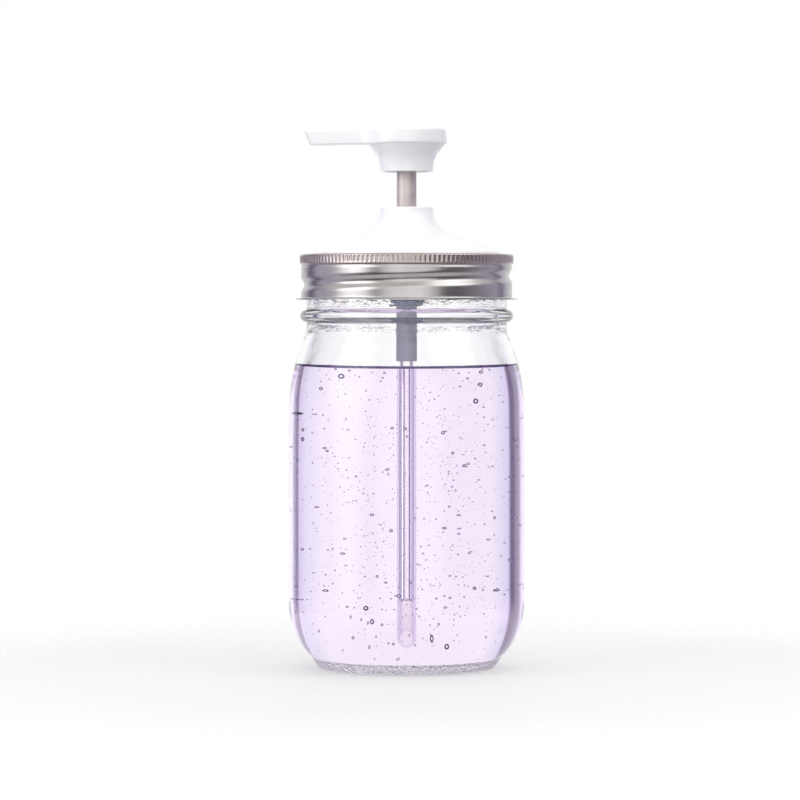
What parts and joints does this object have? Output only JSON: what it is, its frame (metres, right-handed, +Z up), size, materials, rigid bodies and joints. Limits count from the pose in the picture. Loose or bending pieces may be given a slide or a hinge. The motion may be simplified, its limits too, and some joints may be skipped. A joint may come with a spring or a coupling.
{
  "type": "soap pump dispenser",
  "caption": "Clear glass screw-band jar of liquid soap with a knurled metal band, a white bell-shaped lid insert and a spring-return lotion pump with a flat nozzle head.",
  "frame": {"origin": "centre of the ring that the jar stands on", "axes": "+Z up along the jar's axis, nozzle towards -X"},
  "size_m": [0.0782, 0.0782, 0.1787],
  "materials": {
    "clear_glass": "clear, polished",
    "soap": "clear liquid",
    "band_steel": "rolled tinplate",
    "white_plastic": "glossy",
    "seal_rubber": "soft silicone",
    "housing_plastic": "satin",
    "tube_plastic": "clear polyethylene",
    "inner_plastic": "natural moulded",
    "piston_plastic": "soft moulded",
    "sleeve_steel": "satin stainless tube",
    "ball_steel": "polished ball",
    "spring_steel": "drawn wire"
  },
  "bodies": {
    "jar": {"jar_glass": "clear_glass", "soap_fill": "soap"},
    "pump_body": {"lid_dome": "white_plastic", "lid_seal": "seal_rubber", "pump_housing": "housing_plastic", "housing_gasket": "seal_rubber", "stem_guide": "white_plastic", "stem_wiper": "seal_rubber", "dip_tube": "tube_plastic", "ball_cage": "inner_plastic", "return_spring": "spring_steel"},
    "band": {"screw_band": "band_steel"},
    "piston": {"piston_seal": "piston_plastic"},
    "pump_head": {"piston_base": "inner_plastic", "piston_stem": "inner_plastic", "stem_sleeve": "sleeve_steel", "actuator_head": "white_plastic"},
    "inlet_valve": {"inlet_ball": "ball_steel"},
    "outlet_valve": {"outlet_ball": "ball_steel"}
  },
  "joints": [
    {"name": "lid_turn", "type": "hinge", "parent": "jar", "child": "pump_body", "pos_m": [0, 0, 0.1338], "axis": [0, 0, 1], "range_deg": [0, 480]},
    {"name": "band_rise", "type": "slide", "parent": "pump_body", "child": "band", "axis": [0, 0, 1], "range_m": [0, 0.00847]},
    {"name": "head_press", "type": "slide", "parent": "pump_body", "child": "piston", "axis": [0, 0, -1], "range_m": [0, 0.011], "stiffness_N_per_m": 400, "springref_m": -0.002, "deforming": ["return_spring"]},
    {"name": "head_turn", "type": "hinge", "parent": "piston", "child": "pump_head", "pos_m": [0, 0, 0.1708], "axis": [0, 0, 1], "continuous": true},
    {"name": "inlet_ball_lift", "type": "slide", "parent": "pump_body", "child": "inlet_valve", "axis": [0, 0, 1], "range_m": [0, 0.0015]},
    {"name": "outlet_ball_lift", "type": "slide", "parent": "pump_head", "child": "outlet_valve", "axis": [0, 0, 1], "range_m": [0, 0.0007]}
  ],
  "couplings": [
    {"joint": "band_rise", "follows": "lid_turn", "m_per_rad": 0.0010106}
  ]
}
